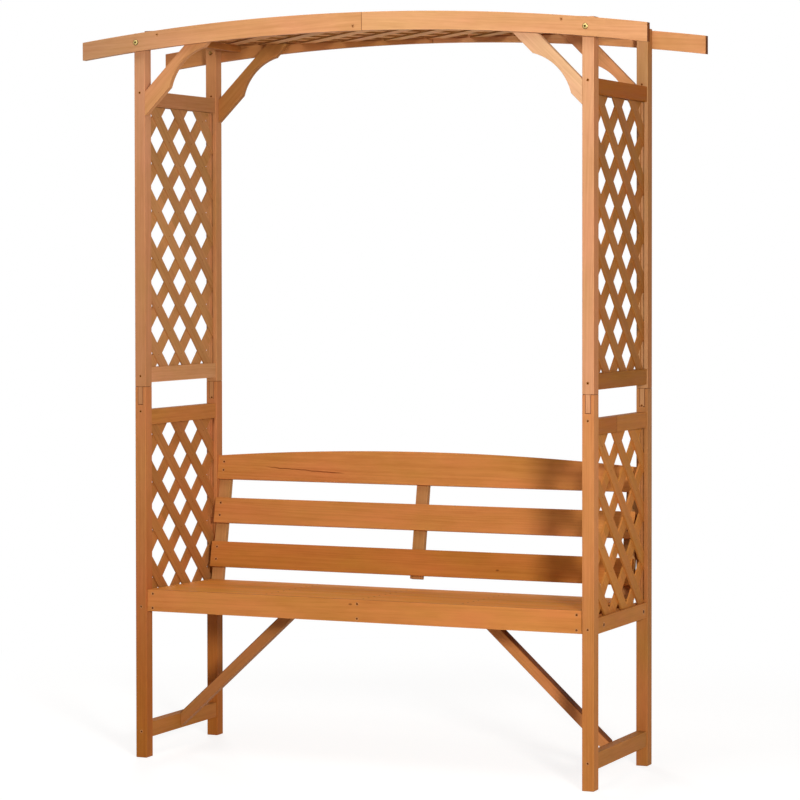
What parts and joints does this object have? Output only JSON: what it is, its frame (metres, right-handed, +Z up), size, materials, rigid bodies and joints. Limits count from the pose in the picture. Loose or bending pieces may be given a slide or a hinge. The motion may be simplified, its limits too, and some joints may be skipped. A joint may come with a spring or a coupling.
{
  "type": "arbour seat",
  "caption": "Timber garden arbour seat: slatted bench with a leaning back between lattice side panels, under a flat lattice roof held by two arched beams on knee braces.",
  "frame": {"origin": "on the ground, under the middle of the footprint", "axes": "+X along the seat to the right of someone facing the front of the seat, +Y from the front to the back, +Z up"},
  "size_m": [1.624, 0.4984, 2.002],
  "materials": {
    "posts": "orange-brown stained softwood, satin, faint lengthwise grain",
    "rails": "orange-brown stained softwood, satin",
    "lattice": "darker brown stained thin softwood laths, satin",
    "beams": "light orange-brown stained softwood, satin, streaked grain",
    "braces": "light orange-brown stained softwood, satin",
    "seat": "orange-brown stained softwood, satin, small knots",
    "back": "orange-brown stained softwood, satin, broad figured grain",
    "struts": "brown stained softwood, satin",
    "brass_fittings": "bright brass, lightly dulled",
    "dark_screws": "browned countersunk steel screws"
  },
  "bodies": {
    "root": {"lower_post_front_left": "posts", "lower_post_front_right": "posts", "lower_post_rear_left": "posts", "lower_post_rear_right": "posts", "upper_post_front_left": "posts", "upper_post_front_right": "posts", "upper_post_rear_left": "posts", "upper_post_rear_right": "posts", "foot_rung_left": "rails", "foot_rung_right": "rails", "side_seat_rail_left": "rails", "side_seat_rail_right": "rails", "lower_top_rail_left": "rails", "lower_top_rail_right": "rails", "upper_bottom_rail_left": "rails", "upper_bottom_rail_right": "rails", "upper_top_rail_left": "rails", "upper_top_rail_right": "rails", "lower_lattice_left": "lattice", "lower_lattice_right": "lattice", "upper_lattice_left": "lattice", "upper_lattice_right": "lattice", "roof_lattice": "lattice", "roof_batten_left": "beams", "roof_batten_right": "beams", "beam_front_left": "beams", "beam_front_right": "beams", "beam_rear_left": "beams", "beam_rear_right": "beams", "knee_brace_front_left": "braces", "knee_brace_front_right": "braces", "knee_brace_rear_left": "braces", "knee_brace_rear_right": "braces", "beam_bolt_front_left": "brass_fittings", "beam_bolt_front_right": "brass_fittings", "beam_bolt_rear_left": "brass_fittings", "beam_bolt_rear_right": "brass_fittings", "seat_apron": "seat", "seat_rear_rail": "seat", "seat_bearer_centre": "seat", "seat_bearer_end_left": "seat", "seat_bearer_end_right": "seat", "seat_bearer_middle_left": "seat", "seat_bearer_middle_right": "seat", "seat_slat_1": "seat", "seat_slat_2": "seat", "seat_slat_3": "seat", "seat_slat_4": "seat", "seat_slat_5": "seat", "back_slat_bottom": "back", "back_slat_middle": "back", "back_slat_top": "back", "back_stile_left": "back", "back_stile_centre": "back", "back_stile_right": "back", "seat_strut_left": "struts", "seat_strut_right": "struts"}
  },
  "joints": []
}
